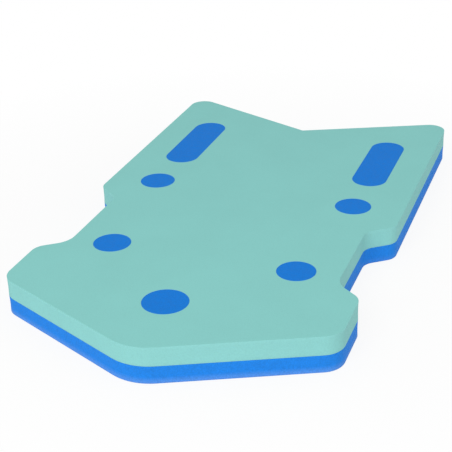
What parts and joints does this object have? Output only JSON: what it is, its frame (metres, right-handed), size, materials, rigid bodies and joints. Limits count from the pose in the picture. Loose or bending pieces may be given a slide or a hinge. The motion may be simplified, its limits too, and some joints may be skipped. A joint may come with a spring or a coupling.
{
  "type": "kickboard",
  "caption": "Flat two-colour foam swimming kickboard with a pointed nose, waist hand grips, a V-notched tail and flush round and long inlays.",
  "frame": {"origin": "middle of the flat underside, at half the length and half the width of the board", "axes": "+Z out of the inlaid top face, +Y along the board from the pointed nose towards the notched tail, +X towards the swimmer's left when looking at the nose"},
  "size_m": [0.285, 0.4905, 0.0317],
  "materials": {
    "mint_foam": "matte closed-cell foam",
    "blue_foam": "matte closed-cell foam",
    "blue_inlay_foam": "matte closed-cell foam"
  },
  "bodies": {
    "root": {"upper_sheet": "mint_foam", "lower_sheet": "blue_foam", "nose_plug": "blue_inlay_foam", "waist_plug_left": "blue_inlay_foam", "waist_plug_right": "blue_inlay_foam", "wing_plug_left": "blue_inlay_foam", "wing_plug_right": "blue_inlay_foam", "slot_plug_left": "blue_inlay_foam", "slot_plug_right": "blue_inlay_foam"}
  },
  "joints": []
}
